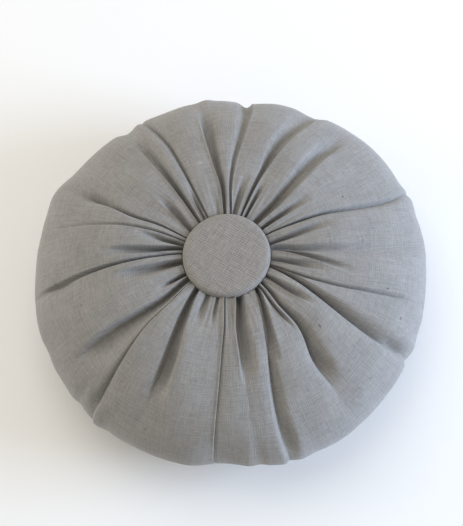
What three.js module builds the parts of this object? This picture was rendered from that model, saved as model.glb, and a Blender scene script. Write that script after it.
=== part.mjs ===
// A round filled cushion of linen, gathered to its centre under a large covered button.
// It lies on its back. Millimetres, +Z up, +X to the right and +Y to the far side of the cushion.
// Heights are worked out from the widest level of the cushion, and the whole is lifted at the end.

import * as THREE from 'three';

// Driving dimensions
const HALF_WIDTH = 200;         // centre to rim along X
const DEPTH_SHARE = 0.971;      // the cushion is a little shorter along Y
const CROWN = 76;               // height of the full crown above the widest level
const BACK = 74;                // the same below it, before the floor flattens the back
const FULLNESS = 2.7;           // power of the crown's curve: 2 is an ellipse, more is fuller
const CENTRE_DIP = 17;          // how far the button draws the centre down
const CENTRE_DIP_RADIUS = 62;
const FLOOR = 62;               // the floor lies this far below the widest level
const FLOOR_ROUNDING = 6;       // the back leaves the floor in a soft curve
const SIDE_SEAM_ANGLE = 79;     // where the front meets the back, in degrees up from straight down
const SIDE_SEAM_DEPTH = 1.8;
const SIDE_SEAM_HALF_WIDTH = 1.6;

// Button
const BUTTON_RADIUS = 42.5;
const BUTTON_BASE = 58;         // height of its underside above the widest level
const BUTTON_THICKNESS = 12.6;
const BUTTON_DOME = 1.4;        // rise of its middle above its edge
const BUTTON_LOWER_ROUND = 4;
const BUTTON_UPPER_ROUND = 5;
const BUTTON_LAST_ROUND = 84;   // degrees of its upper edge, where the dome begins
const BUTTON_STEPS = 64;
const CLEARANCE = 0.3;          // gap between the button and the cloth
const SEAT_RADIUS = BUTTON_RADIUS + 0.4;

const LINEN = { color: 0x97948f, roughness: 0.95, metalness: 0 };
const BUTTON_LINEN = { color: 0x9a9792, roughness: 0.93, metalness: 0 };

// Turns rows of numbers into rows with named columns.
const table = (columns, rows) => {
  const names = columns.split(' ');
  return rows.map((row) => Object.fromEntries(names.map((name, i) => [name, row[i]])));
};

// The gathers of the front, counter-clockwise from +X. Each row is one crease: the angle in
// degrees at which it passes each distance of STATIONS (a to f), its depth in millimetres at each
// distance of DEPTH_STATIONS, and the distance at which it has faded. Its two slopes reach so many
// degrees before and after it, first near the button and then far out, and each is of a kind:
// p rounds over into a pillow, r is a round hollow, and e and f end in a sharp fold edge, f after
// a straight flank. Arch is how much lower the cloth lies at the crease than half way to the next
// one that has an arch.
const STATIONS = [43, 70, 100, 135, 175, 200];
const DEPTH_STATIONS = [43, 58, 115, 175, 200];
const WIDTH_STATIONS = [70, 160];
const FOLDS = table('a b c d e f near middle far reach before after beforeFar afterFar kinds arch', [
  [-0.5, -8.6, -14.4, -17, -16, -15.5, 8, 5, 0, 130, 2, 2.4, 2.5, 3, 'er', 0],
  [1.5, -4.6, -6.4, -6.6, -6.6, -6.6, 8, 5, 2, 186, 3, 4, 6, 5, 'rr', 1.5],
  [7.5, 8.5, 10, 11, 11, 11, 8.5, 3.5, 0, 112, 3.2, 3.5, 4, 4, 'er', 0],
  [21.3, 18.4, 16.6, 14, 13.8, 16.5, 10, 6.5, 5.5, 240, 1.8, 1, 2.6, 1.2, 'pp', 3],
  [31.5, 29.6, 28.8, 28, 28, 28, 9, 2.4, 0, 104, 3.4, 2.5, 3, 3, 'er', 0],
  [43.5, 41, 41.2, 42, 42, 42, 11, 8, 6, 178, 5.4, 4, 3.2, 5, 'er', 1.5],
  [57.8, 56.3, 54.5, 52, 50, 50, 9, 1.5, 0, 90, 2.4, 2, 1.5, 2, 'er', 0],
  [63, 61.2, 59.8, 58, 55.6, 56, 8, 7.5, 5, 240, 1.3, 2, 2.8, 6, 'er', 3],
  [72.5, 70.5, 69, 67, 65, 65, 7, 2, 0, 94, 4.5, 3, 3, 3, 'er', 0],
  [76, 78.3, 77.4, 75.2, 74.4, 76, 5.5, 3.6, 4.5, 240, 1.2, 2, 1.2, 4.5, 'er', 2.5],
  [84.5, 85, 88.2, 90.2, 90.6, 90.6, 12, 11, 6, 176, 3.2, 1.4, 5.5, 1.6, 're', 1.5],
  [92, 92, 94, 97, 98, 98, 3.5, 0, 0, 72, 4, 4, 4, 4, 'rr', 0],
  [105.6, 106.2, 106.5, 106.8, 108.8, 110, 9, 5.5, 4.5, 240, 1.2, 1.4, 1.2, 2.2, 'pp', 2.5],
  [111.3, 109.4, 108.4, 108, 109, 110, 8, 2, 0, 88, 4, 1.2, 2, 1.2, 're', 0],
  [118.6, 116.9, 116.4, 116, 115.5, 116, 14, 9, 4, 172, 3, 1.3, 5, 2, 're', 2.5],
  [134.5, 130.3, 128.2, 127, 127, 127, 10.5, 3, 0, 100, 6.5, 1.8, 3, 2, 're', 0],
  [144.8, 144.6, 146, 144.6, 143.8, 143.8, 9, 6, 5, 178, 1.4, 1, 2.4, 1.6, 'pp', 2],
  [149.6, 150, 152, 155, 157.4, 158, 6.5, 2.6, 1, 205, 1.2, 1.2, 1.2, 1.6, 'pp', 0.5],
  [153, 153.4, 153.8, 155, 156, 157, 12, 2, 0, 96, 2, 4.5, 2, 3, 'rr', 0],
  [158.8, 163, 165.2, 167.2, 169, 169.5, 12.5, 7, 0, 126, 2, 4.4, 2, 4.4, 'rf', 0],
  [167, 171.3, 174, 176.3, 179, 180, 8, 5.5, 4.5, 202, 1, 1.2, 1, 2.2, 'ep', 3],
  [176, 178.5, 180, 183, 185, 186, 12.5, 5, 0, 118, 2.5, 9, 3, 7, 'rr', 0],
  [195.5, 198.5, 200, 200, 200, 200, 12, 0, 0, 78, 2.2, 4, 2.5, 3, 'rr', 0],
  [201, 205, 204.4, 203.6, 204.5, 205.5, 13, 13, 8, 182, 1.2, 7.6, 1.8, 13, 'pf', 2],
  [209.5, 213.2, 214.2, 216.6, 218.8, 219.6, 2, 2, 5, 240, 1.2, 0.9, 2.2, 0.9, 'pe', 3],
  [210.5, 216, 221, 225, 226, 227, 5, 0, 0, 58, 2, 2, 2, 2, 'rr', 0],
  [218.5, 224.8, 229, 231.8, 232.5, 232.5, 15, 13, 7, 166, 1.2, 7.4, 1.8, 7.2, 'pf', 3],
  [240, 240, 242, 245, 246, 246, 3, 0, 0, 66, 3, 3, 3, 3, 'rr', 0],
  [250.5, 251.5, 251.5, 251.5, 251.5, 251.5, 6, 1.2, 0, 84, 3, 3, 3, 3, 'rr', 0],
  [259.3, 260.3, 259.4, 258.6, 257.7, 257.3, 4, 2, 1.6, 240, 0.6, 1.2, 0.4, 0.9, 'ep', 1.5],
  [274.5, 270, 269.6, 269.6, 269.6, 269.6, 14, 7, 1.5, 136, 1.6, 9.5, 1.6, 6, 'er', 1],
  [299.5, 290.3, 284.3, 280, 278, 278.3, 4, 7, 6.5, 240, 1.3, 3, 1.6, 4.5, 'pp', 3],
  [300.5, 291.6, 285.4, 281, 279.5, 279.5, 15, 10, 0, 124, 1.3, 4.6, 1.6, 5, 'pf', 0],
  [305.5, 301.3, 301.2, 297.5, 296, 296, 11, 3.4, 0, 106, 1.2, 2, 1.5, 2, 'er', 0],
  [311, 306, 304.8, 299.8, 299, 300, 12, 10.5, 8, 172, 1.3, 4, 1.4, 7, 'pp', 3],
  [320.5, 318.5, 319.2, 317.5, 316, 316, 11, 4, 0, 104, 1.4, 5, 2, 4, 'er', 0],
  [335, 329.6, 325, 322.2, 321.3, 323, 14.5, 10.5, 7.5, 240, 1.2, 3.5, 1.5, 5.5, 'pp', 4],
  [338, 333.8, 333.7, 335.6, 338, 339, 8, 4.8, 3.6, 196, 1, 1.4, 1, 1.6, 'pp', 1.5],
  [345, 342, 340.8, 340.5, 342, 342.5, 9, 2.6, 0, 100, 2, 4.8, 2, 4, 'er', 0],
]);
const RADIAL_SEAM = 29;         // the row of FOLDS where the two ends of the strip are joined
const NEAR_SHARE = 0.9;         // the share of a crease's near depth right beside the button
const RIM_SHARE = 0.35;         // the share of its far depth that is left at the rim
const FADE_LENGTH = 34;         // a crease runs out over this distance
const PILLOW_POWER = 1.7;
const EDGE_POWERS = { e: 2, f: 1.4 };
const LIP = 0.12;               // a sharp edge stands this share of the depth above the cloth past it
const LIP_WIDTH = 0.6;          // in widths of the slope that ends in the edge
const BLEND_POWER = 2.5;        // how creases that meet join
const ARCH_START = [30, 120];   // an arch comes in between these distances from the centre
const ARCH_FADE = [5, 50];      // and runs out between these distances past its crease's reach
const ARCH_LOWERED_FROM = 160;
const ARCH_AT_RIM = 0.4;

// Deeper hollows in which some of the creases end: the angle and distance of the middle, half the
// width in degrees, half the length and the depth in millimetres.
const HOLLOWS = table('angle distance half length depth', [
  [41, 160, 2.6, 14, 3],
  [144, 150, 2, 15, 4],
  [180, 166, 2, 13, 4],
  [208.5, 150, 4, 20, 3],
  [218.5, 186, 1.8, 9, 4],
  [235.5, 118, 2.6, 22, 3.5],
  [279.4, 186, 1.7, 11, 5],
  [301, 138, 3, 18, 4.5],
  [322.8, 185, 1.7, 10, 5],
]);

// Where the rim is drawn in, or stands out: the angle, half its width in degrees, and its depth.
const RIM_DENTS = table('angle half depth', [
  [15, 7, -3.5],
  [36, 24, -3.2],
  [53, 3, 3],
  [76.5, 2.6, 2.5],
  [76, 11, 3.5],
  [89, 4, -2.5],
  [102.5, 8, 1.5],
  [115, 5, 4.5],
  [144, 8, -3.5],
  [147, 16, -3.5],
  [171, 10, 1.5],
  [195, 6, 1.5],
  [200, 17, 1],
  [213.5, 3, 2],
  [220.5, 4.5, -3.5],
  [260, 11, 5.5],
  [270, 3, 2],
  [279, 8, -4.5],
  [294, 20, -3.4],
  [332, 6, 2],
  [345, 17, 2.5],
]);
const RIM_DENT_INNER = 160;     // the dents start here and are whole at RIM_DENT_OUTER
const RIM_DENT_OUTER = 194;

// The rings of the cushion's skin: distances from the centre on the front, then degrees up from
// straight down beside the side seam and on the back.
const FRONT_RINGS = [44.2, 49, 55, 62, 70, 80, 91, 103, 116, 130, 144, 158, 170, 181, 190, 196, 199.2];
const BESIDE_SEAM = [11, 5, SIDE_SEAM_HALF_WIDTH, 0, -SIDE_SEAM_HALF_WIDTH];
const BACK_RINGS = [...BESIDE_SEAM.map((past) => SIDE_SEAM_ANGLE + past), 71, 62, 52, 42, 33, 22];
const COLUMN_SPACING = 2.6;     // degrees between the lines of points that run out from the button
const LEAST_COLUMNS = 2;        // between two neighbouring guides
const LEAST_GAP = 0.3;          // degrees between two guides

const radians = THREE.MathUtils.degToRad;
const { clamp, lerp } = THREE.MathUtils;
const smooth = (low, high, x) => THREE.MathUtils.smoothstep(x, low, high);
const wrapped = (degrees) => THREE.MathUtils.euclideanModulo(degrees + 180, 360) - 180;
const positive = (degrees) => THREE.MathUtils.euclideanModulo(degrees, 360);

// Which two stations a distance lies between, and the share of the way from one to the other.
function spanAt(stations, distance) {
  const x = clamp(distance, stations[0], stations.at(-1));
  const k = Math.max(stations.findIndex((station) => station >= x) - 1, 0);
  return [k, (x - stations[k]) / (stations[k + 1] - stations[k])];
}

// The angle of a crease at a distance from the centre: a cubic through its stations.
function creaseAngle(fold, distance) {
  const angles = [fold.a, fold.b, fold.c, fold.d, fold.e, fold.f];
  const last = STATIONS.length - 1;
  const slope = (n) => {
    const low = Math.max(n - 1, 0);
    const high = Math.min(n + 1, last);
    return (angles[high] - angles[low]) / (STATIONS[high] - STATIONS[low]);
  };
  const [k, t] = spanAt(STATIONS, distance);
  const span = STATIONS[k + 1] - STATIONS[k];
  const rest = 1 - t;
  return (1 + 2 * t) * rest * rest * angles[k] + t * rest * rest * span * slope(k)
    + t * t * (3 - 2 * t) * angles[k + 1] - t * t * rest * span * slope(k + 1);
}

function creaseDepth(fold, distance) {
  const depths = [NEAR_SHARE * fold.near, fold.near, fold.middle, fold.far, RIM_SHARE * fold.far];
  const [k, t] = spanAt(DEPTH_STATIONS, distance);
  const run = 1 - smooth(fold.reach - FADE_LENGTH, fold.reach, distance);
  return lerp(depths[k], depths[k + 1], t) * run;
}

// How many degrees the slopes before and after a crease reach.
function creaseWidths(fold, distance) {
  const outward = smooth(...WIDTH_STATIONS, distance);
  return [lerp(fold.before, fold.beforeFar, outward), lerp(fold.after, fold.afterFar, outward)];
}

// The share of a crease's depth at a share of the way up its slope.
function slopeShape(kind, across) {
  const up = Math.min(across, 1);
  if (kind === 'p') return (1 - up) ** PILLOW_POWER;
  if (kind === 'r') return (1 + Math.cos(Math.PI * up)) / 2;
  if (across < 1) return 1 - (1 + LIP) * up ** EDGE_POWERS[kind];
  return -LIP * Math.exp(-(((across - 1) / LIP_WIDTH) ** 2));
}

// How far one crease sinks the cloth; less than nothing where a fold edge stands up.
function creaseSink(fold, angle, distance) {
  const away = wrapped(angle - creaseAngle(fold, distance));
  const [before, after] = creaseWidths(fold, distance);
  const share = away < 0 ? slopeShape(fold.kinds[0], -away / before) : slopeShape(fold.kinds[1], away / after);
  return creaseDepth(fold, distance) * share;
}

// How far the cloth lies below the tops of the pillows between the arched creases.
const ARCHED = FOLDS.filter((fold) => fold.arch > 0);
function archSink(angle, distance) {
  const paths = ARCHED.map((fold) => creaseAngle(fold, distance));
  const atRim = 1 - (1 - ARCH_AT_RIM) * smooth(ARCH_LOWERED_FROM, HALF_WIDTH, distance);
  let sink = 0;
  ARCHED.forEach((fold, i) => {
    const away = wrapped(angle - paths[i]);
    const neighbour = paths.at((i + (away < 0 ? -1 : 1)) % paths.length);
    const gap = away < 0 ? positive(paths[i] - neighbour) : positive(neighbour - paths[i]);
    const share = Math.max(1 - 2 * Math.abs(away) / gap, 0);
    const run = 1 - smooth(fold.reach + ARCH_FADE[0], fold.reach + ARCH_FADE[1], distance);
    sink += fold.arch * run * share * share;
  });
  return sink * atRim * smooth(...ARCH_START, distance);
}

function hollowSink(angle, distance) {
  let sink = 0;
  for (const hollow of HOLLOWS) {
    const across = wrapped(angle - hollow.angle) / hollow.half;
    const along = (distance - hollow.distance) / hollow.length;
    sink += hollow.depth * Math.exp(-(across ** 2) - along ** 2);
  }
  return sink;
}

// How far the gathers sink the cloth at an angle and a distance from the centre.
function gatherDepth(angle, distance) {
  let sum = 0;
  let raised = 0;
  for (const fold of FOLDS) {
    const sink = creaseSink(fold, angle, distance);
    sum += Math.max(sink, 0) ** BLEND_POWER;
    raised = Math.min(raised, sink);
  }
  return sum ** (1 / BLEND_POWER) + raised + hollowSink(angle, distance) + archSink(angle, distance);
}

function rimDent(angle) {
  let depth = 0;
  for (const dent of RIM_DENTS) {
    const away = Math.abs(wrapped(angle - dent.angle)) / dent.half;
    if (away < 1) depth += dent.depth * Math.cos((away * Math.PI) / 2) ** 2;
  }
  return depth;
}

// A smooth lesser of two numbers, which is exactly the limit once the value is well past it.
function softLimit(value, limit, rounding) {
  const mix = clamp(0.5 + (limit - value) / (2 * rounding), 0, 1);
  return lerp(limit, value, mix) - rounding * mix * (1 - mix);
}

function frontHeight(distance) {
  const share = Math.min(distance / HALF_WIDTH, 1);
  return CROWN * Math.sqrt(1 - share ** FULLNESS)
    - CENTRE_DIP * Math.exp(-((distance / CENTRE_DIP_RADIUS) ** 2));
}

// A point of the front, sunk along the slope of the crown by its gathers and by the dents of the rim.
function frontPoint(distance, angle) {
  const step = 0.2;
  const outer = Math.min(distance + step, HALF_WIDTH);
  const rise = (frontHeight(outer) - frontHeight(outer - 2 * step)) / (2 * step);
  const length = Math.hypot(1, rise);
  const sink = gatherDepth(angle, distance);
  const dent = rimDent(angle) * smooth(RIM_DENT_INNER, RIM_DENT_OUTER, distance);
  return [distance + (sink * rise) / length - dent, frontHeight(distance) - sink / length];
}

// A point of the side and back, by its angle up from straight down.
function backPoint(up, angle) {
  const share = Math.sin(radians(up)) ** (2 / FULLNESS);
  const depth = BACK * Math.cos(radians(up));
  const fromFloor = 1 - smooth(0.25, 0.75, depth / FLOOR);
  const sink = (gatherDepth(angle, HALF_WIDTH) + rimDent(angle)) * fromFloor;
  const seam = Math.max(0, 1 - Math.abs(up - SIDE_SEAM_ANGLE) / SIDE_SEAM_HALF_WIDTH);
  return [HALF_WIDTH * share - sink - SIDE_SEAM_DEPTH * seam, -softLimit(depth, FLOOR, FLOOR_ROUNDING)];
}

// The guides of the skin's lines of points are the creases and the sharp fold edges beside them.
// An angle of a guide is counted from the radial seam.
function guideAngle(guide, distance) {
  const [before, after] = creaseWidths(guide.fold, distance);
  const reach = guide.side < 0 ? -before : guide.side * after;
  const seam = creaseAngle(FOLDS[RADIAL_SEAM], distance);
  return positive(creaseAngle(guide.fold, distance) + reach - seam);
}

function guideList() {
  const guides = FOLDS.map((fold) => ({ fold, side: 0 }));
  for (const fold of FOLDS) {
    if (fold.kinds[0] in EDGE_POWERS) guides.push({ fold, side: -1 });
    if (fold.kinds[1] in EDGE_POWERS) guides.push({ fold, side: 1 });
  }
  for (const guide of guides) {
    const angles = STATIONS.map((station) => guideAngle(guide, station));
    guide.place = angles.reduce((sum, angle) => sum + angle, 0) / angles.length;
  }
  return guides.sort((one, other) => one.place - other.place);
}

// The guides' angles at a distance, kept in order, with the radial seam again at the end.
function guideAngles(guides, distance) {
  const angles = [...guides.map((guide) => guideAngle(guide, distance)), 360];
  for (let i = 1; i < guides.length; i++) angles[i] = Math.max(angles[i], angles[i - 1] + LEAST_GAP);
  for (let i = guides.length - 1; i > 0; i--) angles[i] = Math.min(angles[i], angles[i + 1] - LEAST_GAP);
  return angles;
}

// The lines of points that run out from the button: which guide each one follows, and the share of
// the way to the next guide.
function columns(guides) {
  const list = [];
  const all = STATIONS.map((station) => guideAngles(guides, station));
  guides.forEach((guide, i) => {
    const gap = all.reduce((sum, angles) => sum + angles[i + 1] - angles[i], 0) / all.length;
    const count = Math.max(LEAST_COLUMNS, Math.round(gap / COLUMN_SPACING));
    for (let k = 0; k < count; k++) list.push({ index: i, share: k / count });
  });
  return list;
}

function columnAngles(guides, lines, distance) {
  const angles = guideAngles(guides, distance);
  const seam = creaseAngle(FOLDS[RADIAL_SEAM], distance);
  return lines.map(({ index, share }) => seam + lerp(angles[index], angles[index + 1], share));
}

function cushionGeometry() {
  const guides = guideList();
  const lines = columns(guides);
  const points = [];
  const place = (radius, angle, height, depthShare = DEPTH_SHARE) => {
    points.push(radius * Math.cos(radians(angle)), radius * Math.sin(radians(angle)) * depthShare, height);
  };
  const seatHeight = BUTTON_BASE - CLEARANCE;
  place(0, 0, seatHeight);
  for (const angle of columnAngles(guides, lines, STATIONS[0])) place(SEAT_RADIUS, angle, seatHeight, 1);
  for (const distance of FRONT_RINGS) {
    for (const angle of columnAngles(guides, lines, distance)) {
      const [radius, height] = frontPoint(distance, angle);
      place(radius, angle, height);
    }
  }
  for (const up of BACK_RINGS) {
    for (const angle of columnAngles(guides, lines, HALF_WIDTH)) {
      const [radius, height] = backPoint(up, angle);
      place(radius, angle, height);
    }
  }
  place(0, 0, -FLOOR);

  const ringCount = 1 + FRONT_RINGS.length + BACK_RINGS.length;
  const at = (ring, k) => 1 + ring * lines.length + (k % lines.length);
  const bottom = points.length / 3 - 1;
  const faces = [];
  for (let k = 0; k < lines.length; k++) {
    faces.push(0, at(0, k), at(0, k + 1));
    for (let ring = 0; ring + 1 < ringCount; ring++) {
      faces.push(at(ring, k), at(ring + 1, k), at(ring + 1, k + 1));
      faces.push(at(ring, k), at(ring + 1, k + 1), at(ring, k + 1));
    }
    faces.push(bottom, at(ringCount - 1, k + 1), at(ringCount - 1, k));
  }
  const geometry = new THREE.BufferGeometry();
  geometry.setAttribute('position', new THREE.Float32BufferAttribute(points, 3));
  geometry.setIndex(faces);
  geometry.computeVertexNormals();
  return geometry;
}

function buttonGeometry() {
  const top = BUTTON_BASE + BUTTON_THICKNESS;
  const profile = [new THREE.Vector2(0, BUTTON_BASE)];
  const arc = (radius, height, round, from, to, steps) => {
    for (let i = 0; i <= steps; i++) {
      const a = radians(lerp(from, to, i / steps));
      profile.push(new THREE.Vector2(radius + round * Math.cos(a), height + round * Math.sin(a)));
    }
  };
  const lower = BUTTON_LOWER_ROUND;
  const upper = BUTTON_UPPER_ROUND;
  arc(BUTTON_RADIUS - lower, BUTTON_BASE + lower, lower, -90, 0, 3);
  arc(BUTTON_RADIUS - upper, top - upper, upper, 0, BUTTON_LAST_ROUND, 4);
  for (const share of [0.6, 0.3]) {
    profile.push(new THREE.Vector2(BUTTON_RADIUS * share, top + BUTTON_DOME * (1 - share * share)));
  }
  profile.push(new THREE.Vector2(0, top + BUTTON_DOME));
  const geometry = new THREE.LatheGeometry(profile, BUTTON_STEPS);
  geometry.rotateX(Math.PI / 2);
  return geometry;
}

const part = new THREE.Group();
const pieces = [
  ['cushion', cushionGeometry(), LINEN],
  ['button', buttonGeometry(), BUTTON_LINEN],
];
for (const [name, geometry, finish] of pieces) {
  const mesh = new THREE.Mesh(geometry, new THREE.MeshStandardMaterial(finish));
  mesh.name = name;
  part.add(mesh);
}

// The origin is under the middle of the whole box, on the floor.
const box = new THREE.Box3().setFromObject(part);
part.position.set(-(box.min.x + box.max.x) / 2, -(box.min.y + box.max.y) / 2, -box.min.z);

export default part;
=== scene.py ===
"""A round filled cushion of grey linen, gathered to its centre under a large covered button.

The cushion's own shape is worked out in millimetres from its widest level, as its solid is, and
turned into metres in the row's frame when its mesh is made.
"""

import math

import bpy
import numpy as np
from mathutils import Matrix, Vector


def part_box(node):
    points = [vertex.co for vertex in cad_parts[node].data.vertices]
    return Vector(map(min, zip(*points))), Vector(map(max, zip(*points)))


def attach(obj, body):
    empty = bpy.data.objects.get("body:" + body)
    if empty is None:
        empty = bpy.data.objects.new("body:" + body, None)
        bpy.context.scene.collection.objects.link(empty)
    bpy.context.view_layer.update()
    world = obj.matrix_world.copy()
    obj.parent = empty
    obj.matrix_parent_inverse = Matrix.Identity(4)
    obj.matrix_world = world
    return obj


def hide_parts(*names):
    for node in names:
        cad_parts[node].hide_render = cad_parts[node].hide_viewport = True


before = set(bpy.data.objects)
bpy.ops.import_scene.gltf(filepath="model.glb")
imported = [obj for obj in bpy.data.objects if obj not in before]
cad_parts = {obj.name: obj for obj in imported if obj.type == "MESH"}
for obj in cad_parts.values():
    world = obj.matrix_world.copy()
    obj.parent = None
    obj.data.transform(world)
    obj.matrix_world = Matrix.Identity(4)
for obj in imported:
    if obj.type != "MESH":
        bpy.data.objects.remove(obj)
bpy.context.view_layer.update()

MM = 0.001

# The place of the cushion's own centre, at its widest level, in the row's frame.
button_low, button_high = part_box("button")
FLOOR_DROP = 62.0  # the floor lies this far below the widest level
CENTRE = Vector(
    (
        (button_low.x + button_high.x) / 2,
        (button_low.y + button_high.y) / 2,
        FLOOR_DROP * MM,
    )
)

# The camera, from the photograph's perspective.
CAMERA_DISTANCE = 1.2
CAMERA_ELEVATION = math.radians(71.5)
CAMERA_ROLL = math.radians(9.0)
CAMERA_AIM = (0.0016, 0.0140)  # right and up of the centre, as the camera sees it
FOCAL_PIXELS = 1182.0
IMAGE_SIZE = (463, 526)
SENSOR = 36.0

# The cushion
HALF_WIDTH = 200.0
DEPTH_SHARE = 0.971  # the cushion is a little shorter along Y
CROWN = 76.0  # height of the full crown above the widest level
BACK = 74.0  # how far the back would reach below that level if no floor flattened it
FULLNESS = 2.7  # the power of the outline, which is an ellipse at 2
CENTRE_DIP = 17.0  # how far the button draws the centre down
CENTRE_DIP_RADIUS = 62.0
FLOOR_ROUNDING = 6.0
SIDE_SEAM_ANGLE = 79.0  # where the front meets the back, in degrees up from straight down
SIDE_SEAM_DEPTH = 1.8
SIDE_SEAM_HALF_WIDTH = 1.6
SIDE_SEAM_PUCKER = 0.8  # how far the cloth puckers beside the seam
SIDE_SEAM_PUCKER_REACH = 9.0  # in degrees to either side of the seam
SIDE_SEAM_PUCKER_DEGREES = 2.5  # round the rim
SIDE_SEAM_PUCKER_RUN = 40.0  # degrees up the side
BACK_FOLD_FADE = (0.25, 0.75)  # folds end between these shares of the way to the floor

# The button
BUTTON_RADIUS = 42.5
BUTTON_BASE = 58.0
BUTTON_THICKNESS = 12.6
BUTTON_DOME = 1.4
BUTTON_LOWER_ROUND = 4.0
BUTTON_UPPER_ROUND = 5.0
BUTTON_UPPER_TURN = 84.0  # degrees of the upper rounding, after which the dome begins
BUTTON_BASE_RINGS = (10.0, 20.0, 30.0)
BUTTON_LOWER_STEPS = 7
BUTTON_UPPER_STEPS = 10
BUTTON_DOME_RINGS = (0.86, 0.08, 16)  # from and to these shares of the radius, how many
BUTTON_COLUMNS = 128
CLEARANCE = 0.4  # between the button and the cushion


def table(columns, rows):
    """Rows of numbers as dictionaries with named columns."""
    names = columns.split()
    return [dict(zip(names, row)) for row in rows]


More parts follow.
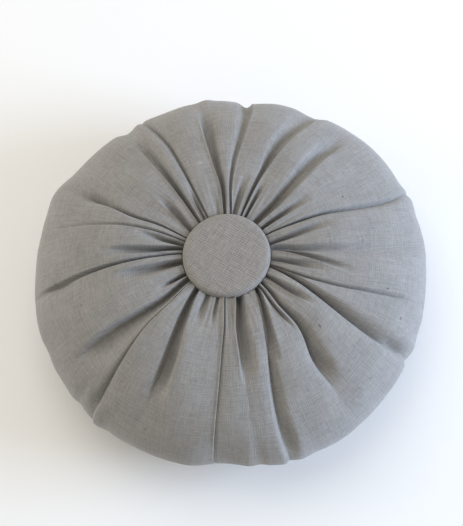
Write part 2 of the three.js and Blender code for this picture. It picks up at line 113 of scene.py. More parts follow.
# The gathers of the front, counter-clockwise from +X. Each row is one crease: the angle in
# degrees at which it passes each distance of STATIONS (a to f), its depth in millimetres at each
# distance of DEPTH_STATIONS, and the distance at which it has faded. Its two slopes reach so many
# degrees before and after it, first near the button and then far out, and each is of a kind:
# p rounds over into a pillow, r is a round hollow, and e and f end in a sharp fold edge, f after
# a straight flank. Arch is how much lower the cloth lies at the crease than half way to the next
# one that has an arch.
STATIONS = np.array([43, 70, 100, 135, 175, 200], float)
DEPTH_STATIONS = np.array([43, 58, 115, 175, 200], float)
WIDTH_STATIONS = (70.0, 160.0)
FOLDS = table(
    "a b c d e f near middle far reach before after before_far after_far kinds arch",
    [
        (-0.5, -8.6, -14.4, -17, -16, -15.5, 8, 5, 0, 130, 2, 2.4, 2.5, 3, "er", 0),
        (1.5, -4.6, -6.4, -6.6, -6.6, -6.6, 8, 5, 2, 186, 3, 4, 6, 5, "rr", 1.5),
        (7.5, 8.5, 10, 11, 11, 11, 8.5, 3.5, 0, 112, 3.2, 3.5, 4, 4, "er", 0),
        (21.3, 18.4, 16.6, 14, 13.8, 16.5, 10, 6.5, 5.5, 240, 1.8, 1, 2.6, 1.2, "pp", 3),
        (31.5, 29.6, 28.8, 28, 28, 28, 9, 2.4, 0, 104, 3.4, 2.5, 3, 3, "er", 0),
        (43.5, 41, 41.2, 42, 42, 42, 11, 8, 6, 178, 5.4, 4, 3.2, 5, "er", 1.5),
        (57.8, 56.3, 54.5, 52, 50, 50, 9, 1.5, 0, 90, 2.4, 2, 1.5, 2, "er", 0),
        (63, 61.2, 59.8, 58, 55.6, 56, 8, 7.5, 5, 240, 1.3, 2, 2.8, 6, "er", 3),
        (72.5, 70.5, 69, 67, 65, 65, 7, 2, 0, 94, 4.5, 3, 3, 3, "er", 0),
        (76, 78.3, 77.4, 75.2, 74.4, 76, 5.5, 3.6, 4.5, 240, 1.2, 2, 1.2, 4.5, "er", 2.5),
        (84.5, 85, 88.2, 90.2, 90.6, 90.6, 12, 11, 6, 176, 3.2, 1.4, 5.5, 1.6, "re", 1.5),
        (92, 92, 94, 97, 98, 98, 3.5, 0, 0, 72, 4, 4, 4, 4, "rr", 0),
        (105.6, 106.2, 106.5, 106.8, 108.8, 110, 9, 5.5, 4.5, 240, 1.2, 1.4, 1.2, 2.2, "pp", 2.5),
        (111.3, 109.4, 108.4, 108, 109, 110, 8, 2, 0, 88, 4, 1.2, 2, 1.2, "re", 0),
        (118.6, 116.9, 116.4, 116, 115.5, 116, 14, 9, 4, 172, 3, 1.3, 5, 2, "re", 2.5),
        (134.5, 130.3, 128.2, 127, 127, 127, 10.5, 3, 0, 100, 6.5, 1.8, 3, 2, "re", 0),
        (144.8, 144.6, 146, 144.6, 143.8, 143.8, 9, 6, 5, 178, 1.4, 1, 2.4, 1.6, "pp", 2),
        (149.6, 150, 152, 155, 157.4, 158, 6.5, 2.6, 1, 205, 1.2, 1.2, 1.2, 1.6, "pp", 0.5),
        (153.8, 154.2, 154.4, 155, 156, 157, 12, 2, 0, 96, 2, 4.5, 2, 3, "rr", 0),
        (159.4, 164.2, 166.4, 168, 169, 169.5, 12.5, 7, 0, 128, 2, 4.4, 2, 4.4, "rf", 0),
        (167, 171.3, 174, 176.3, 179, 180, 8, 5.5, 4.5, 202, 1, 1.2, 1, 2.2, "ep", 3),
        (176.4, 179.5, 181, 183, 185, 186, 12.5, 5, 0, 118, 2.5, 9, 3, 7, "rr", 0),
        (195.5, 198.5, 200, 200, 200, 200, 12, 0, 0, 78, 2.2, 4, 2.5, 3, "rr", 0),
        (201.4, 206, 205.6, 204.6, 205, 205.8, 13, 13.5, 8, 182, 1.2, 7, 1.8, 12.4, "pf", 2),
        (209.5, 213.2, 214.2, 216.6, 218.8, 219.6, 2, 2, 5, 240, 1.2, 0.9, 2.2, 0.9, "pe", 3),
        (210.5, 216, 221, 225, 226, 227, 5, 0, 0, 58, 2, 2, 2, 2, "rr", 0),
        (218.8, 225.2, 230, 233, 233.8, 234, 15, 14, 7, 166, 1.2, 7.2, 1.8, 6.4, "pf", 3),
        (236.5, 239, 241.5, 244, 246, 246, 6.5, 0, 0, 82, 3, 7, 3, 6, "rr", 0),
        (250.5, 251.5, 251.5, 251.5, 251.5, 251.5, 6, 1.2, 0, 84, 3, 3, 3, 3, "rr", 0),
        (259.3, 260.3, 259.4, 258.6, 257.7, 257.3, 4, 2, 1.6, 240, 0.6, 1.2, 0.4, 0.9, "ep", 1.5),
        (274.5, 270, 269.6, 269.6, 269.6, 269.6, 17, 8, 1.5, 136, 1.6, 9.5, 1.6, 6, "er", 1),
        (299.5, 290.3, 284.3, 280, 278, 278.3, 4, 7, 6.5, 240, 1.3, 3, 1.6, 4.5, "pp", 3),
        (300.5, 291.6, 285.4, 281, 279.5, 279.5, 15, 10, 0, 124, 1.3, 4.6, 1.6, 5, "pf", 0),
        (305.5, 301.3, 301.2, 297.5, 296, 296, 11, 3.4, 0, 106, 1.2, 2, 1.5, 2, "er", 0),
        (311, 306, 304.8, 299.8, 299, 300, 12, 10.5, 8, 172, 1.3, 4, 1.4, 7, "pp", 3),
        (320.5, 318.5, 319.2, 317.5, 316, 316, 11, 4, 0, 104, 1.4, 5, 2, 4, "er", 0),
        (335, 329.6, 325, 322.2, 321.3, 323, 14.5, 10.5, 7.5, 240, 1.2, 3.5, 1.5, 5.5, "pp", 4),
        (338, 333.8, 333.7, 335.6, 338, 339, 8, 4.8, 3.6, 196, 1, 1.4, 1, 1.6, "pp", 1.5),
        (345, 342, 340.8, 340.5, 342, 342.5, 9, 2.6, 0, 100, 2, 4.8, 2, 4, "er", 0),
    ],
)
NEAR_SHARE = 0.9  # the share of a crease's near depth that it has at the first station
FADE_LENGTH = 34.0
ARCH_START = (30.0, 120.0)  # an arch comes in between these distances from the centre
ARCH_FADE = (5.0, 50.0)  # an arch runs out between these distances past the crease's reach
PILLOW_POWER = 1.7
EDGE_POWERS = {"e": 2.0, "f": 1.7}  # the lower, the straighter
LIP = 0.12  # a sharp fold edge stands this share of the crease's depth above the cloth past it
LIP_WIDTH = 0.6  # in widths of the slope that ends in the edge
BLEND_POWER = 2.5  # how sharply the slopes of two creases meet
ARCH_AT_RIM = 0.4  # the share of an arch that is left at the rim
ARCH_LOWERED_FROM = 160.0  # the distance from which an arch goes down to that share
RIM_SHARE = 0.35  # the share of a crease's far depth that is left at the rim
RADIAL_SEAM = 29  # the row of FOLDS where the two ends of the strip are joined

# The join of the strip stands up as a fine roll just before its crease.
SEAM_ROLL_HEIGHT = 0.9
SEAM_ROLL_BEFORE = 1.2
SEAM_ROLL_HALF_WIDTH = 0.9
SEAM_ROLL_FADE = (170.0, 200.0)  # it flattens between these distances from the centre

# Deeper hollows in which some of the creases end: the angle and distance of the middle, half the
# width in degrees, half the length and the depth in millimetres.
HOLLOWS = table(
    "angle distance half length depth",
    [
        (41, 160, 2.6, 14, 3),
        (144, 148, 1.9, 15, 5),
        (180, 166, 2, 13, 4),
        (208.5, 150, 4, 20, 3),
        (218.5, 186, 1.8, 9, 4),
        (235.5, 118, 2.6, 22, 3.5),
        (279.4, 186, 1.7, 11, 5),
        (301, 138, 3, 18, 4.5),
        (322.8, 185, 1.7, 10, 5),
    ],
)

# Where the rim is drawn in, or stands out: the angle, half its width in degrees, and its depth.
RIM_DENTS = table(
    "angle half depth",
    [
        (15, 7, -3.5),
        (36, 24, -3.2),
        (53, 3, 3),
        (76.5, 2.6, 2.5),
        (76, 11, 3.5),
        (89, 4, -2.5),
        (102.5, 8, 1.5),
        (115, 5, 4.5),
        (144, 8, -3.5),
        (147, 16, -3.5),
        (171, 10, 1.5),
        (195, 6, 1.5),
        (200, 17, 1),
        (213.5, 3, 2),
        (220.5, 4.5, -3.5),
        (260, 11, 5.5),
        (270, 3, 2),
        (279, 8, -4.5),
        (294, 20, -3.4),
        (332, 6, 2),
        (345, 17, 2.5),
    ],
)
RIM_DENT_INNER = 160.0  # a dent comes in between these distances from the centre
RIM_DENT_OUTER = 194.0

# Uneven filling and the fine puckers between the gathers: the size of a cell in degrees and
# millimetres, the height of its unevenness, and the distances between which it comes or goes.
LUMPS = table(
    "degrees length height gone full",
    [
        (20, 48, 2.2, 60, 120),
        (8, 24, 0.7, 60, 110),
        (2.2, 34, 0.8, 108, 60),
    ],
)
LUMP_SEED = 7
NOISE_ROWS = 64  # of cells along, after which the noise comes back

# The grid of points of the cushion's skin
HIDDEN_RINGS = (24.0, 34.0, 40.0, 42.4)  # under the button
FIRST_RING_GAP = 0.4  # from the button's clearance to the first ring that shows
FRONT_RING_STEP = 2.7  # along the crown, from the button's edge to the widest level
SIDE_SEAM_RINGS = (8, 5.5, 3.5, 2.4, 1.6, 0.8, 0, -0.8, -1.6, -2.4, -3.5, -5.5, -8)
BACK_RING_COUNT = 13
LAST_BACK_ANGLE = 10.0
FOLDS_START = (34.0, 44.0)  # folds come in between these distances, under the button
COLUMN_SPACING = 0.43  # in degrees
LEAST_COLUMNS = 4  # from one guide to the next
EVEN_SHARE = 0.5  # columns are spaced so far evenly, and else crowd towards the guides
LEAST_GAP = 0.16  # degrees between two of the lines that the columns follow
FINE_STEPS = 20001  # for measuring along the crown
RIM_MARGIN = 1e-6  # the rings stop this far inside the widest level
SLOPE_STEP = 0.1  # for measuring the crown's slope


def smooth_step(low, high, x):
    """A share that goes smoothly from nothing at low to one at high."""
    t = np.clip((x - low) / (high - low), 0, 1)
    return t * t * (3 - 2 * t)


def wrapped(degrees):
    """An angle brought between -180 and 180."""
    return (degrees + 180) % 360 - 180


def crease_angle(fold, distance):
    """The angle of a crease at distances from the centre: a cubic through its stations."""
    angles = np.array([fold[k] for k in "abcdef"], float)
    slopes = np.empty(len(angles))
    slopes[1:-1] = (angles[2:] - angles[:-2]) / (STATIONS[2:] - STATIONS[:-2])
    slopes[0] = (angles[1] - angles[0]) / (STATIONS[1] - STATIONS[0])
    slopes[-1] = (angles[-1] - angles[-2]) / (STATIONS[-1] - STATIONS[-2])
    x = np.clip(np.asarray(distance, float), STATIONS[0], STATIONS[-1])
    i = np.clip(np.searchsorted(STATIONS, x, side="right") - 1, 0, len(angles) - 2)
    span = STATIONS[i + 1] - STATIONS[i]
    t = (x - STATIONS[i]) / span
    rest = 1 - t
    return (
        (1 + 2 * t) * rest * rest * angles[i]
        + t * rest * rest * span * slopes[i]
        + t * t * (3 - 2 * t) * angles[i + 1]
        - t * t * rest * span * slopes[i + 1]
    )


def crease_depth(fold, distance):
    """How deep a crease is at distances from the centre."""
    depths = [NEAR_SHARE * fold["near"], fold["near"], fold["middle"], fold["far"]]
    depths.append(RIM_SHARE * fold["far"])
    depth = np.interp(distance, DEPTH_STATIONS, depths)
    return depth * (1 - smooth_step(fold["reach"] - FADE_LENGTH, fold["reach"], distance))


def crease_widths(fold, distance):
    """How many degrees the slopes before and after a crease reach."""
    outward = smooth_step(*WIDTH_STATIONS, distance)
    before = fold["before"] + (fold["before_far"] - fold["before"]) * outward
    after = fold["after"] + (fold["after_far"] - fold["after"]) * outward
    return before, after


def slope_shape(kind, across):
    """The share of a crease's depth at a share of the way up its slope."""
    up = np.clip(across, 0, 1)
    if kind == "p":
        return (1 - up) ** PILLOW_POWER
    if kind in EDGE_POWERS:
        past = np.maximum(across - 1, 0)
        lip = -LIP * np.exp(-((past / LIP_WIDTH) ** 2))
        return np.where(across < 1, 1 - (1 + LIP) * up ** EDGE_POWERS[kind], lip)
    return (1 + np.cos(math.pi * up)) / 2


def crease_sink(fold, angle, distance):
    """How far one crease sinks the cloth; less than nothing where a fold edge stands up."""
    away = wrapped(angle - crease_angle(fold, distance)[:, None])
    before, after = (width[:, None] for width in crease_widths(fold, distance))
    low = slope_shape(fold["kinds"][0], -away / before)
    high = slope_shape(fold["kinds"][1], away / after)
    return crease_depth(fold, distance)[:, None] * np.where(away < 0, low, high)


def arch_sink(angle, distance):
    """How far the cloth lies below the tops of the pillows between the arched creases."""
    arched = [fold for fold in FOLDS if fold["arch"]]
    paths = [crease_angle(fold, distance)[:, None] for fold in arched]
    sink = np.zeros(angle.shape)
    for i, fold in enumerate(arched):
        away = wrapped(angle - paths[i])
        before = (paths[i] - paths[i - 1]) % 360
        after = (paths[(i + 1) % len(arched)] - paths[i]) % 360
        share = np.clip(1 - 2 * np.where(away < 0, -away / before, away / after), 0, 1)
        low, high = (fold["reach"] + past for past in ARCH_FADE)
        fade = (1 - smooth_step(low, high, distance)) * smooth_step(*ARCH_START, distance)
        fade *= 1 - (1 - ARCH_AT_RIM) * smooth_step(ARCH_LOWERED_FROM, HALF_WIDTH, distance)
        sink += fold["arch"] * fade[:, None] * share**2
    return sink


def hollow_sink(angle, distance):
    """How far the cloth lies lower in the hollows at the ends of creases."""
    sink = np.zeros(angle.shape)
    for hollow in HOLLOWS:
        across = wrapped(angle - hollow["angle"]) / hollow["half"]
        along = (distance - hollow["distance"]) / hollow["length"]
        sink += hollow["depth"] * np.exp(-(across**2) - along[:, None] ** 2)
    return sink


def seam_roll(angle, distance):
    """How far the cloth stands up along the radial seam."""
    away = np.radians(wrapped(angle - crease_angle(FOLDS[RADIAL_SEAM], distance)[:, None]))
    across = (away * distance[:, None] + SEAM_ROLL_BEFORE) / SEAM_ROLL_HALF_WIDTH
    left = 1 - smooth_step(*SEAM_ROLL_FADE, distance)
    return SEAM_ROLL_HEIGHT * left[:, None] * np.exp(-(across**2))


def gather_depth(angle, distance):
    """How far the gathers sink the cloth, for a grid of angles, a row for each distance."""
    total = np.zeros(angle.shape)
    raised = np.zeros(angle.shape)
    for fold in FOLDS:
        sink = crease_sink(fold, angle, distance)
        total += np.maximum(sink, 0) ** BLEND_POWER
        raised = np.minimum(raised, sink)
    total = total ** (1 / BLEND_POWER) + raised + hollow_sink(angle, distance)
    return total + arch_sink(angle, distance) - seam_roll(angle, distance)


def smooth_noise(across, along, cells, seed):
    """Even noise between -1 and 1 that closes on itself after so many cells across."""
    values = np.random.default_rng(seed).uniform(-1, 1, (cells, NOISE_ROWS))
    i, j = np.floor(across).astype(int), np.floor(along).astype(int)
    s, t = across - i, along - j
    s, t = s * s * (3 - 2 * s), t * t * (3 - 2 * t)

    def corner(di, dj):
        return values[(i + di) % cells, (j + dj) % NOISE_ROWS]

    near = corner(0, 0) * (1 - s) + corner(1, 0) * s
    far = corner(0, 1) * (1 - s) + corner(1, 1) * s
    return near * (1 - t) + far * t


def unevenness(angle, distance):
    """How far the filling and fine puckers raise the cloth."""
    raised = np.zeros(angle.shape)
    for i, lump in enumerate(LUMPS):
        cells = round(360 / lump["degrees"])
        along = np.broadcast_to(distance[:, None] / lump["length"], angle.shape)
        noise = smooth_noise(angle / 360 * cells, along, cells, LUMP_SEED + i)
        low, high = sorted((lump["gone"], lump["full"]))
        share = smooth_step(low, high, distance)
        if lump["gone"] > lump["full"]:
            share = 1 - share
        raised += noise * (share * lump["height"])[:, None]
    return raised


def rim_dent(angle):
    """How far the rim is drawn in; less than nothing where it stands out."""
    depth = np.zeros(np.shape(angle))
    for dent in RIM_DENTS:
        away = np.minimum(np.abs(wrapped(angle - dent["angle"])) / dent["half"], 1)
        depth += dent["depth"] * np.cos(away * math.pi / 2) ** 2
    return depth


def soft_limit(value, limit, rounding):
    """A smooth lesser of two numbers, which is exactly the limit well past it."""
    mix = np.clip(0.5 + (limit - value) / (2 * rounding), 0, 1)
    return limit + (value - limit) * mix - rounding * mix * (1 - mix)


def front_height(distance):
    """The height of the crown above the widest level, before its folds."""
    share = np.clip(distance / HALF_WIDTH, 0, 1)
    dip = CENTRE_DIP * np.exp(-((distance / CENTRE_DIP_RADIUS) ** 2))
    return CROWN * np.sqrt(1 - share**FULLNESS) - dip


def height_under_button(distance):
    """The highest the cloth may be below the button and beside its lower edge."""
    seat = BUTTON_BASE - CLEARANCE
    flat = BUTTON_RADIUS - BUTTON_LOWER_ROUND
    reach = BUTTON_LOWER_ROUND + CLEARANCE
    along = np.clip((distance - flat) / reach, 0, 1)
    return seat + reach * (1 - np.sqrt(1 - along**2))


def front_distances():
    """Ring distances evenly spaced along the crown, with a few hidden under the button."""
    first = BUTTON_RADIUS + CLEARANCE + FIRST_RING_GAP
    fine = np.linspace(first, HALF_WIDTH - RIM_MARGIN, FINE_STEPS)
    along = crown_length(fine)
    count = int(along[-1] / FRONT_RING_STEP)
    even = np.interp(np.linspace(0, along[-1], count + 1), along, fine)
    return np.concatenate((HIDDEN_RINGS, [BUTTON_RADIUS + CLEARANCE], even))


def crown_length(distance):
    """The length along the crown from the first of these distances to each of them."""
    steps = np.hypot(np.diff(distance), np.diff(front_height(distance)))
    return np.concatenate(([0], np.cumsum(steps)))


def guide_angle(guide, distance):
    """Degrees past the radial seam of a crease, or of the edge of its slope.

    A guide is a row of FOLDS and a side: 0 for the crease, -1 or 1 for the edge of the slope
    before or after it.
    """
    row, side = guide
    before, after = crease_widths(FOLDS[row], distance)
    reach = side * (before if side < 0 else after)
    seam = crease_angle(FOLDS[RADIAL_SEAM], distance)
    return (crease_angle(FOLDS[row], distance) + reach - seam) % 360


def guide_list():
    """Creases and sharp fold edges as (row of FOLDS, side), from the radial seam round."""
    guides = []
    for i, fold in enumerate(FOLDS):
        guides.append((i, 0))
        guides += [(i, side) for side, kind in zip((-1, 1), fold["kinds"]) if kind in EDGE_POWERS]
    return sorted(guides, key=lambda guide: guide_angle(guide, STATIONS).mean())


def guide_angles(guides, distance):
    """The guides' angles past the seam, kept in order, with a last row of 360."""
    lines = np.array([guide_angle(guide, distance) for guide in guides])
    for i in range(1, len(lines)):
        lines[i] = np.maximum(lines[i], lines[i - 1] + LEAST_GAP)
    lines = np.vstack((lines, np.full(len(distance), 360.0)))
    for i in range(len(lines) - 2, 0, -1):
        lines[i] = np.minimum(lines[i], lines[i + 1] - LEAST_GAP)
    return lines


def column_layout(guides):
    """For each column of points: the guide before it and the share of the way to the next."""
    layout = []
    gaps = np.diff(guide_angles(guides, STATIONS), axis=0).mean(axis=1)
    for k, gap in enumerate(gaps):
        steps = max(LEAST_COLUMNS, round(gap / COLUMN_SPACING))
        for i in range(steps):
            t = i / steps
            crowded = 1 - math.cos(math.pi * t)
            layout.append((k, EVEN_SHARE * t + (1 - EVEN_SHARE) / 2 * crowded))
    return layout


def column_angles(guides, layout, distance):
    """A grid of angles, a row for each distance and a column for each line of points."""
    lines = guide_angles(guides, distance)
    row = np.array([k for k, _ in layout])
    share = np.array([s for _, s in layout])[:, None]
    past_seam = lines[row] * (1 - share) + lines[row + 1] * share
    return (past_seam + crease_angle(FOLDS[RADIAL_SEAM], distance)).T


def front_grid(guides, layout, distance):
    """Radius, angle and height of the front's points, before they are turned into metres."""
    angle = column_angles(guides, layout, distance)
    inner = np.maximum(distance - SLOPE_STEP, 0)
    outer = np.minimum(distance + SLOPE_STEP, HALF_WIDTH)
    rise = (front_height(outer) - front_height(inner)) / (outer - inner)
    length = np.hypot(1, rise)
    visible = smooth_step(*FOLDS_START, distance)
    inside = 1 - smooth_step(RIM_DENT_INNER, HALF_WIDTH, distance)
    sink = gather_depth(angle, distance) * visible[:, None]
    sink -= unevenness(angle, distance) * (visible * inside)[:, None]
    dent = rim_dent(angle) * smooth_step(RIM_DENT_INNER, RIM_DENT_OUTER, distance)[:, None]
    radius = distance[:, None] + sink * (rise / length)[:, None] - dent
    height = front_height(distance)[:, None] - sink / length[:, None]
    under = distance < BUTTON_RADIUS + CLEARANCE + FIRST_RING_GAP / 2
    limit = height_under_button(distance)[:, None]
    height = np.where(under[:, None], np.minimum(height, limit), height)
    radius = np.where(under[:, None], distance[:, None], radius)
    return radius, angle, height


def back_grid(guides, layout):
    """The same for the side below the widest level and the back."""
    near_seam = SIDE_SEAM_ANGLE + np.array(SIDE_SEAM_RINGS)
    beyond = np.linspace(near_seam[-1], LAST_BACK_ANGLE, BACK_RING_COUNT + 1)[1:]
    down = np.concatenate((near_seam, beyond))
    rim_angle = column_angles(guides, layout, np.array([HALF_WIDTH]))
    angle = np.repeat(rim_angle, len(down), axis=0)
    share = np.sin(np.radians(down)) ** (2 / FULLNESS)
    depth = BACK * np.cos(np.radians(down))
    above_floor = 1 - smooth_step(*BACK_FOLD_FADE, depth / FLOOR_DROP)
    rim = gather_depth(rim_angle, np.array([HALF_WIDTH]))
    sink = (rim + rim_dent(angle)) * above_floor[:, None]
    from_seam = np.abs(down - SIDE_SEAM_ANGLE)
    groove = np.maximum(0, 1 - from_seam / SIDE_SEAM_HALF_WIDTH)
    beside = np.maximum(0, 1 - from_seam / SIDE_SEAM_PUCKER_REACH)
    cells = round(360 / SIDE_SEAM_PUCKER_DEGREES)
    along = down[:, None] / SIDE_SEAM_PUCKER_RUN
    puckers = np.abs(smooth_noise(angle / 360 * cells, along, cells, LUMP_SEED))
    sink += SIDE_SEAM_DEPTH * groove[:, None] + SIDE_SEAM_PUCKER * puckers * beside[:, None]
    radius = (HALF_WIDTH * share)[:, None] - sink
    level = -soft_limit(depth, FLOOR_DROP, FLOOR_ROUNDING)
    return radius, angle, np.repeat(level[:, None], angle.shape[1], axis=1)


def to_frame(radius, angle, height):
    """Points of the cushion's own shape in metres, in the row's frame."""
    turn = np.radians(angle)
    x = radius * np.cos(turn)
    y = radius * np.sin(turn) * DEPTH_SHARE
    return np.stack((x, y, height), -1) * MM + np.array(CENTRE)


def closed_grid(rings, columns):
    """Faces of a closed grid of rings with a point at each end, the first point on top."""
    ring = np.arange(rings - 1)[:, None]
    column = np.arange(columns)[None, :]
    right = (column + 1) % columns
    corners = (
        1 + ring * columns + column,
        1 + (ring + 1) * columns + column,
        1 + (ring + 1) * columns + right,
        1 + ring * columns + right,
    )
    quads = np.stack(np.broadcast_arrays(*corners), -1).reshape(-1, 4).tolist()
    last = 1 + rings * columns
    start = 1 + (rings - 1) * columns
    top = [(0, 1 + j, 1 + (j + 1) % columns) for j in range(columns)]
    bottom = [(last, start + (j + 1) % columns, start + j) for j in range(columns)]
    return top + quads + bottom


def grid_mesh(name, grid, top, bottom, coordinates):
    """A closed piece from a grid of points, with the weave's coordinates at its face corners.

    The coordinates are a pair of grids: those a point has in the faces after its column, and
    those it has in the faces before it.
    """
    rings, columns = grid.shape[:2]
    points = np.concatenate(([top], grid.reshape(-1, 3), [bottom]))
    mesh = bpy.data.meshes.new(name)
    mesh.from_pydata(points.tolist(), [], closed_grid(rings, columns))
    after, before = coordinates
    before = np.roll(before, -1, axis=1)
    middle = np.zeros((columns, 1, 2))
    top_corners = np.concatenate((middle, after[0][:, None], before[0][:, None]), axis=1)
    quad_corners = np.stack((after[:-1], after[1:], before[1:], before[:-1]), axis=2)
    bottom_corners = np.concatenate((middle, before[-1][:, None], after[-1][:, None]), axis=1)
    corners = [part.reshape(-1, 2) for part in (top_corners, quad_corners, bottom_corners)]
    layer = mesh.uv_layers.new(name="weave")
    layer.data.foreach_set("uv", np.concatenate(corners).ravel())
    mesh.update()
    mesh.shade_smooth()
    piece = bpy.data.objects.new(name, mesh)
    bpy.context.scene.collection.objects.link(piece)
    return piece


PANEL_OFFSET = 400.0  # between the weave of one pillow and the next, so that no two are alike
BACK_WEAVE_TURN = math.radians(14)


def panel_starts(guides):
    """The guides at which a new pillow begins, as their places in the list."""
    return [k for k, (row, side) in enumerate(guides) if side == 0 and FOLDS[row]["arch"]]


def panel_middles(guides, distance):
    """The angle past the seam of the middle of each pillow, a row for each pillow."""
    lines = guide_angles(guides, distance)
    starts = panel_starts(guides)
    ends = starts[1:] + [len(guides)]
    return (lines[starts] + lines[ends]) / 2


def front_weave(guides, layout, distance, angle):
    """Millimetres across and along each pillow at the front's points.

    There are two grids, as a point on a crease lies in the weave of the pillows on both sides.
    """
    middles = panel_middles(guides, distance)
    panel = np.searchsorted(panel_starts(guides), [k for k, _ in layout], side="right") - 1
    past_seam = angle - crease_angle(FOLDS[RADIAL_SEAM], distance)[:, None]
    along = np.broadcast_to(crown_length(distance)[:, None], angle.shape)
    panel_before = np.roll(panel, 1)
    past_seam_before = past_seam.copy()
    past_seam_before[:, 0] += 360
    grids = []
    for owner, turned in ((panel, past_seam), (panel_before, past_seam_before)):
        across = np.radians(turned - middles[owner].T) * distance[:, None]
        grids.append(np.stack((across + PANEL_OFFSET * owner, along), -1))
    return grids


def fleck_coordinates(fleck):
    """Where a fleck lies in the weave: millimetres across and along its pillow."""
    guides = guide_list()
    rings = front_distances()
    distance = np.array([fleck["distance"]], float)
    past_seam = (fleck["angle"] - crease_angle(FOLDS[RADIAL_SEAM], distance)[0]) % 360
    starts = guide_angles(guides, distance)[panel_starts(guides), 0]
    panel = np.searchsorted(starts, past_seam, side="right") - 1
    middle = panel_middles(guides, distance)[panel, 0]
    across = math.radians(past_seam - middle) * fleck["distance"] + PANEL_OFFSET * panel
    return float(across), float(np.interp(fleck["distance"], rings, crown_length(rings)))


def back_weave(grid):
    """Millimetres across and along the flat cloth of the side below the rim and the back."""
    flat = (grid - np.array(CENTRE)) / MM
    cosine, sine = math.cos(BACK_WEAVE_TURN), math.sin(BACK_WEAVE_TURN)
    across = flat[..., 0] * cosine - flat[..., 1] * sine
    along = flat[..., 0] * sine + flat[..., 1] * cosine
    return np.stack((across, along), -1)


def build_cushion():
    """The filled cushion, one closed piece."""
    guides = guide_list()
    layout = column_layout(guides)
    distance = front_distances()
    front = front_grid(guides, layout, distance)
    back = back_grid(guides, layout)
    grid = to_frame(*(np.concatenate((f, b)) for f, b in zip(front, back)))
    seat = np.array(CENTRE) + (0, 0, (BUTTON_BASE - CLEARANCE) * MM)
    floor = np.array(CENTRE) - (0, 0, FLOOR_DROP * MM)
    behind = back_weave(grid[len(distance) :])
    sides = [
        np.concatenate((part, behind))
        for part in front_weave(guides, layout, distance, front[1])
    ]
    return grid_mesh("linen_cushion", grid, seat, floor, sides)


def button_edge(rounding, height, start, end, steps):
    """Points of the rounded edge about a height, between two angles in degrees."""
    return [
        (BUTTON_RADIUS - rounding + rounding * math.cos(a), height + rounding * math.sin(a))
        for a in np.radians(np.linspace(start, end, steps))
    ]


def button_profile():
    """Radius and height of the outline, from the middle of the dome to that of the base."""
    top = BUTTON_BASE + BUTTON_THICKNESS
    lower, upper = BUTTON_LOWER_ROUND, BUTTON_UPPER_ROUND
    profile = [(radius, BUTTON_BASE) for radius in BUTTON_BASE_RINGS]
    profile += button_edge(lower, BUTTON_BASE + lower, -90, 0, BUTTON_LOWER_STEPS)
    profile += button_edge(upper, top - upper, 0, BUTTON_UPPER_TURN, BUTTON_UPPER_STEPS)
    for share in np.linspace(*BUTTON_DOME_RINGS):
        profile.append((BUTTON_RADIUS * share, top + BUTTON_DOME * (1 - share * share)))
    return profile[::-1]


def build_button():
    """The covered button, one closed piece."""
    profile = np.array(button_profile())
    angle = np.linspace(0, 2 * math.pi, BUTTON_COLUMNS, endpoint=False)
    outward = np.stack((np.cos(angle), np.sin(angle)), -1)
    along = np.concatenate(([profile[0, 0]], np.hypot(*np.diff(profile, axis=0).T))).cumsum()
    flat = profile[:, 0][:, None, None] * outward
    height = np.broadcast_to(profile[:, 1][:, None, None], (*flat.shape[:2], 1))
    grid = np.concatenate((flat, height), -1) * MM + np.array(CENTRE)
    top = np.array(CENTRE) + (0, 0, (BUTTON_BASE + BUTTON_THICKNESS + BUTTON_DOME) * MM)
    base = np.array(CENTRE) + (0, 0, BUTTON_BASE * MM)
    weave = along[:, None, None] * outward
    return grid_mesh("linen_button", grid, top, base, (weave, weave))


def add_node(tree, kind, inputs=(), **settings):
    """A shader node with its settings made and its inputs set or joined."""
    node = tree.nodes.new(kind)
    for name, value in settings.items():
        setattr(node, name, value)
    for socket, value in inputs:
        if isinstance(value, bpy.types.NodeSocket):
            tree.links.new(value, node.inputs[socket])
        else:
            node.inputs[socket].default_value = value
    return node


def add_threads(tree, weave, scale, detail):
    """Noise drawn out along one direction of the weave, by how fast it changes each way."""
    stretched = add_node(
        tree, "ShaderNodeVectorMath", ((0, weave), (1, (*scale, 1))), operation="MULTIPLY"
    )
    noise = add_node(
        tree,
        "ShaderNodeTexNoise",
        (("Vector", stretched.outputs[0]), ("Scale", 1.0), ("Detail", detail)),
        noise_dimensions="2D",
    )
    return noise.outputs[0]


def add_ribs(tree, weave, pitch):
    """Even lines across and along the weave, which stray a little."""
    stray = add_threads(tree, weave, PATCH_SCALE, PATCH_DETAIL)
    shift = add_node(
        tree, "ShaderNodeMath", ((0, stray), (1, RIB_WANDER)), operation="MULTIPLY"
    )
    strayed = add_node(tree, "ShaderNodeVectorMath", ((0, weave), (1, shift.outputs[0])))
    turns = (2 * math.pi / pitch,) * 3
    waves = add_node(
        tree, "ShaderNodeVectorMath", ((0, strayed.outputs[0]), (1, turns)), operation="MULTIPLY"
    )
    sines = add_node(tree, "ShaderNodeVectorMath", ((0, waves.outputs[0]),), operation="SINE")
    parts = add_node(tree, "ShaderNodeSeparateXYZ", ((0, sines.outputs[0]),))
    return parts.outputs[0], parts.outputs[1]


def add_sum(tree, terms, start):
    """A weighted sum of noises, each of which counts from its middle."""
    total = start
    for noise, weight in terms:
        step = add_node(
            tree,
            "ShaderNodeMath",
            ((0, noise), (1, weight), (2, -NOISE_MIDDLE * weight)),
            operation="MULTIPLY_ADD",
        )
        total = add_node(tree, "ShaderNodeMath", ((0, step.outputs[0]), (1, total))).outputs[0]
    return total


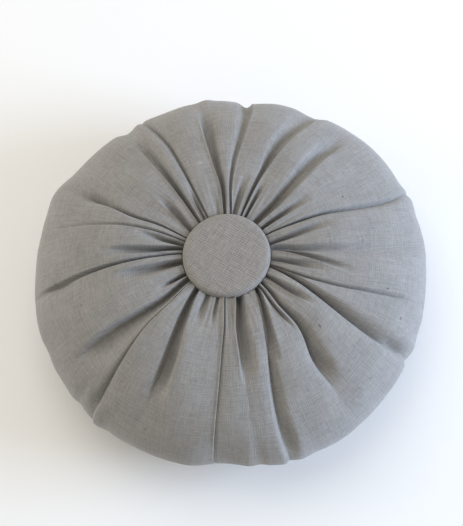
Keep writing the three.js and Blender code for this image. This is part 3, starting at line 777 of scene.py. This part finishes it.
# How each cloth looks: its darkest and lightest thread, the turn of its weave in degrees, the
# thread pitch in millimetres, how much threads across, threads along, slubs, patches and the
# even ribs of the weave show, and how far apart those ribs are.
LINEN_DARK = (0.13, 0.126, 0.122)
LINEN_LIGHT = (0.4, 0.389, 0.378)
BUTTON_DARK = (0.13, 0.122, 0.116)
BUTTON_LIGHT = (0.4, 0.376, 0.356)
CLOTHS = table(
    "name dark light turn pitch across along slubs patches ribs rib_pitch",
    [
        ("linen", LINEN_DARK, LINEN_LIGHT, 0, 0.9, 0.34, 0.34, 0.15, 0.2, 0.03, 2.1),
        ("button_linen", BUTTON_DARK, BUTTON_LIGHT, 41, 0.7, 0.48, 0.48, 0.16, 0.1, 0.09, 2.2),
    ],
)

# Knots and thick bits of thread on the front: the angle and distance of the middle, half the size
# across and along the pillow in millimetres, and how much lighter than the cloth.
FLECKS = table(
    "angle distance across along lighter",
    [
        (96.5, 103, 3.2, 1.5, 0.4),
        (20.3, 130, 2.2, 1.4, -0.5),
        (311.3, 115, 1.5, 2.6, -0.5),
        (331.5, 178, 2.4, 1.3, -0.5),
        (339.3, 158, 1.4, 2.0, -0.5),
        (310.2, 181, 1.5, 1.8, -0.3),
        (236.5, 184, 2.6, 1.4, -0.3),
        (189.5, 148, 1.6, 2.0, -0.3),
    ],
)
FLECK_CORE = 0.25  # the share of a fleck over which it is as strong as it gets

# The weave, in millimetres, and how fine the noise of each of its parts is
THREAD_RUN = 8.0  # how far one thread keeps its tone
THREAD_DETAIL = 1.5
SLUB_WIDTH = 1.9
SLUB_RUN = 30.0
SLUB_DETAIL = 0
PATCH_SIZE = 26.0
PATCH_SCALE = (1 / PATCH_SIZE, 1 / PATCH_SIZE)
PATCH_DETAIL = 2
RIB_WANDER = 4.0  # how far the ribs of the weave stray
NOISE_MIDDLE = 0.5
MIDDLE_TONE = 0.5  # half way between the darkest and the lightest thread
BUMP_STRENGTH = 0.6
BUMP_HEIGHT = 0.7 * MM
CLOTH_SHADER = {
    "Roughness": 0.92,
    "Specular IOR Level": 0.25,
    "Sheen Weight": 0.22,
    "Sheen Roughness": 0.5,
}


def add_flecks(tree, weave, flecks, start):
    """A value to which each fleck adds how much lighter it is than the cloth."""
    total = start
    for fleck in flecks:
        place = (*fleck_coordinates(fleck), 0)
        scale = (1 / fleck["across"], 1 / fleck["along"], 0)
        offset = add_node(
            tree, "ShaderNodeVectorMath", ((0, weave), (1, place)), operation="SUBTRACT"
        )
        scaled = add_node(
            tree, "ShaderNodeVectorMath", ((0, offset.outputs[0]), (1, scale)), operation="MULTIPLY"
        )
        away = add_node(
            tree, "ShaderNodeVectorMath", ((0, scaled.outputs[0]),), operation="LENGTH"
        )
        spot = add_node(
            tree,
            "ShaderNodeMapRange",
            (
                ("Value", away.outputs["Value"]),
                ("From Min", FLECK_CORE),
                ("From Max", 1.0),
                ("To Min", fleck["lighter"]),
                ("To Max", 0.0),
            ),
        )
        total = add_node(tree, "ShaderNodeMath", ((0, spot.outputs[0]), (1, total))).outputs[0]
    return total


def linen_material(cloth, flecks):
    """Woven linen whose tone and relief come from threads, slubs, patches, ribs and flecks."""
    material = bpy.data.materials.new(cloth["name"])
    material.use_nodes = True
    tree = material.node_tree
    shader = tree.nodes["Principled BSDF"]
    for socket, value in CLOTH_SHADER.items():
        shader.inputs[socket].default_value = value

    uv = add_node(tree, "ShaderNodeUVMap", uv_map="weave")
    turned = add_node(
        tree,
        "ShaderNodeVectorRotate",
        (("Vector", uv.outputs[0]), ("Angle", math.radians(cloth["turn"]))),
        rotation_type="Z_AXIS",
    )
    weave = turned.outputs[0]
    fast, slow = 1 / cloth["pitch"], 1 / THREAD_RUN
    across = add_threads(tree, weave, (slow, fast), THREAD_DETAIL)
    along = add_threads(tree, weave, (fast, slow), THREAD_DETAIL)
    slubs_across = add_threads(tree, weave, (1 / SLUB_RUN, 1 / SLUB_WIDTH), SLUB_DETAIL)
    slubs_along = add_threads(tree, weave, (1 / SLUB_WIDTH, 1 / SLUB_RUN), SLUB_DETAIL)
    patches = add_threads(tree, weave, PATCH_SCALE, PATCH_DETAIL)
    # The two ribs have their middle at nothing, so their weight is given back here.
    start = MIDDLE_TONE + 2 * NOISE_MIDDLE * cloth["ribs"]
    tone = add_sum(
        tree,
        (
            (across, cloth["across"]),
            (along, cloth["along"]),
            (slubs_across, cloth["slubs"]),
            (slubs_along, cloth["slubs"]),
            (patches, cloth["patches"]),
            *((rib, cloth["ribs"]) for rib in add_ribs(tree, weave, cloth["rib_pitch"])),
        ),
        add_flecks(tree, weave, flecks, start),
    )
    colour = add_node(
        tree,
        "ShaderNodeMix",
        (
            (0, tone),
            (6, (*cloth["dark"], 1)),
            (7, (*cloth["light"], 1)),
        ),
        data_type="RGBA",
    )
    tree.links.new(colour.outputs[2], shader.inputs["Base Color"])
    bump = add_node(
        tree,
        "ShaderNodeBump",
        (("Strength", BUMP_STRENGTH), ("Distance", BUMP_HEIGHT), ("Height", tone)),
    )
    tree.links.new(bump.outputs[0], shader.inputs["Normal"])
    return material


def add_camera():
    """The camera, which looks at a point a little off the centre, as in the photograph."""
    elevation, roll = CAMERA_ELEVATION, CAMERA_ROLL
    away = Vector((0, -math.cos(elevation), math.sin(elevation)))
    level_right = Vector((1, 0, 0))
    level_up = Vector((0, math.sin(elevation), math.cos(elevation)))
    right = level_right * math.cos(roll) - level_up * math.sin(roll)
    up = level_right * math.sin(roll) + level_up * math.cos(roll)
    place = CENTRE + away * CAMERA_DISTANCE
    aim = CENTRE + right * CAMERA_AIM[0] + up * CAMERA_AIM[1]
    back = (place - aim).normalized()
    right = up.cross(back).normalized()
    up = back.cross(right)
    data = bpy.data.cameras.new("camera")
    data.sensor_width = SENSOR
    data.lens = FOCAL_PIXELS / max(IMAGE_SIZE) * SENSOR
    camera = bpy.data.objects.new("camera", data)
    turn = Matrix((right, up, back)).transposed().to_4x4()
    camera.matrix_world = Matrix.Translation(place) @ turn
    bpy.context.scene.collection.objects.link(camera)
    bpy.context.scene.camera = camera


def add_area_light(light):
    """A square light aimed at the cushion, by where it stands as seen from the cushion."""
    data = bpy.data.lights.new(light["name"], "AREA")
    data.shape = "SQUARE"
    data.size = light["size"]
    data.energy = light["power"]
    data.color = light["colour"]
    azimuth, elevation = math.radians(light["azimuth"]), math.radians(light["elevation"])
    level = math.cos(elevation)
    away = Vector((math.cos(azimuth) * level, math.sin(azimuth) * level, math.sin(elevation)))
    lamp = bpy.data.objects.new(light["name"], data)
    lamp.location = CENTRE + away * light["distance"]
    lamp.rotation_euler = away.to_track_quat("Z", "Y").to_euler()
    bpy.context.scene.collection.objects.link(lamp)


# The lights: where each stands as seen from the cushion, in degrees and metres, its size, its
# power in watts and its colour.
LIGHTS = table(
    "name azimuth elevation distance size power colour",
    [
        ("window", -13, 17, 2.2, 1.1, 57, (0.69, 0.87, 1.17)),
        ("far_window", 90, 12, 2.2, 1.2, 4, (0.95, 0.97, 1.0)),
        ("left_window", 160, 12, 2.2, 1.0, 15, (1.0, 0.94, 0.86)),
        ("overhead", 100, 66, 2.2, 1.8, 16, (1.0, 0.97, 0.92)),
    ],
)
WORLD_COLOUR = (1.0, 0.95, 0.84)
WORLD_STRENGTH = 0.51
FLOOR_HALF = 4.0
FLOOR_COLOUR = (0.9, 0.9, 0.9)
FLOOR_ROUGHNESS = 0.9


def add_world():
    world = bpy.data.worlds.new("studio")
    world.use_nodes = True
    background = world.node_tree.nodes["Background"]
    background.inputs["Color"].default_value = (*WORLD_COLOUR, 1)
    background.inputs["Strength"].default_value = WORLD_STRENGTH
    bpy.context.scene.world = world


def add_floor():
    mesh = bpy.data.meshes.new("floor")
    far = FLOOR_HALF
    corners = [(-far, -far, 0), (far, -far, 0), (far, far, 0), (-far, far, 0)]
    mesh.from_pydata(corners, [], [(0, 1, 2, 3)])
    floor = bpy.data.objects.new("floor", mesh)
    material = bpy.data.materials.new("floor_paint")
    material.use_nodes = True
    shader = material.node_tree.nodes["Principled BSDF"]
    shader.inputs["Base Color"].default_value = (*FLOOR_COLOUR, 1)
    shader.inputs["Roughness"].default_value = FLOOR_ROUGHNESS
    mesh.materials.append(material)
    bpy.context.scene.collection.objects.link(floor)


add_camera()
add_world()
for light in LIGHTS:
    add_area_light(light)
add_floor()

cushion = build_cushion()
button = build_button()
pieces = zip((cushion, button), ("cushion", "button"), CLOTHS, (FLECKS, []))
for piece, node, cloth, flecks in pieces:
    piece.data.materials.append(linen_material(cloth, flecks))
    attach(piece, "root")
    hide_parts(node)

bpy.context.scene.view_settings.view_transform = "Standard"

bpy.context.view_layer.update()
